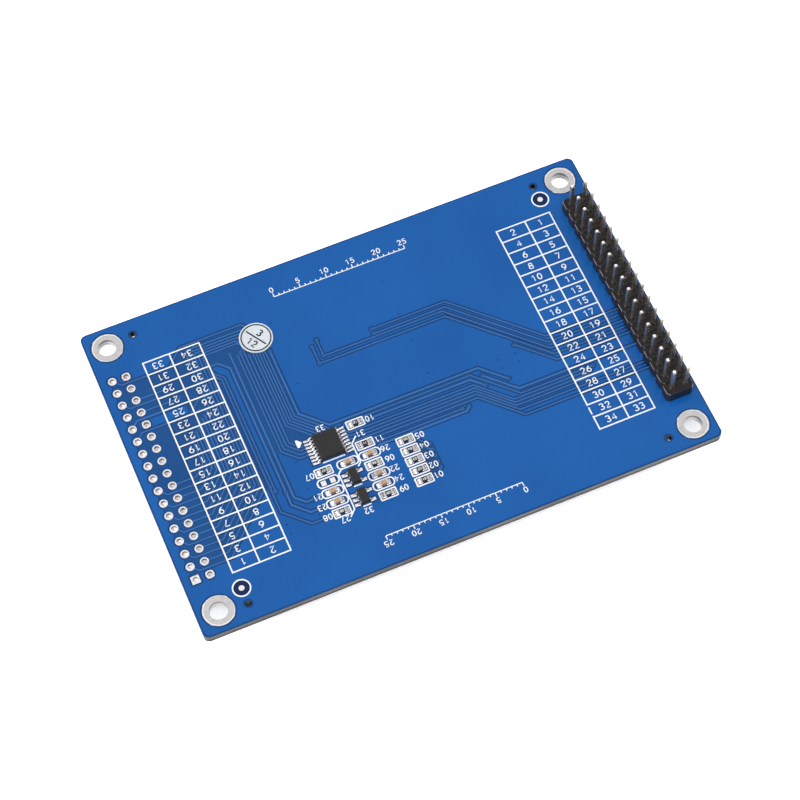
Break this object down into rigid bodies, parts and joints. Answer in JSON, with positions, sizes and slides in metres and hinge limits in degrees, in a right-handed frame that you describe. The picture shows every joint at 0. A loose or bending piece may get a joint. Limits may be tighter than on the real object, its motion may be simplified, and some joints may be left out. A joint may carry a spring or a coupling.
{
  "type": "tft display module",
  "caption": "Colour touch display on a circuit board with a two-row pin header, an empty second header footprint and four mounting holes.",
  "frame": {"origin": "centre of the board seen from above, at the display's front face, on which the module rests", "axes": "+X along the board towards the fitted pin header, +Y across the board, +Z out of the board's back along the pins"},
  "size_m": [0.0946, 0.0618, 0.0148],
  "materials": {
    "blue_solder_mask": "gloss",
    "masked_copper": "gloss",
    "masked_track": "gloss",
    "tinned_copper": "satin",
    "solder": "gloss",
    "white_print": "matte",
    "black_moulding": "matte",
    "plated_pin": "satin",
    "resistor_glaze": "gloss",
    "capacitor_ceramic": "matte",
    "package_resin": "matte",
    "sticker_paper": "matte",
    "sticker_ink": "matte",
    "foam": "matte",
    "tray_steel": "satin",
    "white_frame": "matte",
    "optical_sheet": "satin",
    "clear_light_guide": "gloss",
    "display_glass": "gloss",
    "touch_glass": "gloss",
    "polarizer_film": "satin",
    "clear_film": "satin",
    "silicon": "gloss",
    "amber_flex": "gloss",
    "led_resin": "gloss",
    "black_adhesive": "matte"
  },
  "bodies": {
    "root": {"circuit_board": "blue_solder_mask", "ground_copper": "masked_copper", "signal_tracks": "masked_track", "mounting_hole_plating": "tinned_copper", "empty_header_plating": "tinned_copper", "fitted_header_plating": "tinned_copper", "fiducial_pads": "tinned_copper", "left_table_print": "white_print", "right_table_print": "white_print", "outline_print": "white_print", "component_pads": "solder", "component_solder": "solder", "header_strip": "black_moulding", "header_pins_inner": "plated_pin", "header_pins_outer": "plated_pin", "header_solder": "solder", "resistor_1": "resistor_glaze", "resistor_2": "resistor_glaze", "resistor_3": "resistor_glaze", "resistor_4": "resistor_glaze", "resistor_5": "resistor_glaze", "resistor_6": "resistor_glaze", "resistor_7": "resistor_glaze", "resistor_8": "resistor_glaze", "resistor_9": "resistor_glaze", "resistor_10": "resistor_glaze", "resistor_11": "resistor_glaze", "capacitor_1": "capacitor_ceramic", "capacitor_2": "capacitor_ceramic", "capacitor_3": "capacitor_ceramic", "capacitor_4": "capacitor_ceramic", "capacitor_6": "capacitor_ceramic", "capacitor_7": "capacitor_ceramic", "touch_controller_body": "package_resin", "touch_controller_leads": "solder", "regulator_body": "package_resin", "regulator_leads": "solder", "backlight_driver_body": "package_resin", "backlight_driver_leads": "solder", "inspection_sticker": "sticker_paper", "sticker_print": "sticker_ink", "foam_tape": "foam", "backlight_tray": "tray_steel", "backlight_frame": "white_frame", "reflector_sheet": "optical_sheet", "light_guide": "clear_light_guide", "diffuser_sheet": "optical_sheet", "prism_sheets": "optical_sheet", "led_strip": "led_resin", "rear_polarizer": "polarizer_film", "tft_glass": "display_glass", "color_filter_glass": "display_glass", "front_polarizer": "polarizer_film", "driver_chip": "silicon", "display_flex": "amber_flex", "touch_gasket": "black_adhesive", "touch_glass": "touch_glass", "touch_film": "clear_film", "touch_flex": "amber_flex", "flex_joints": "solder"}
  },
  "joints": []
}
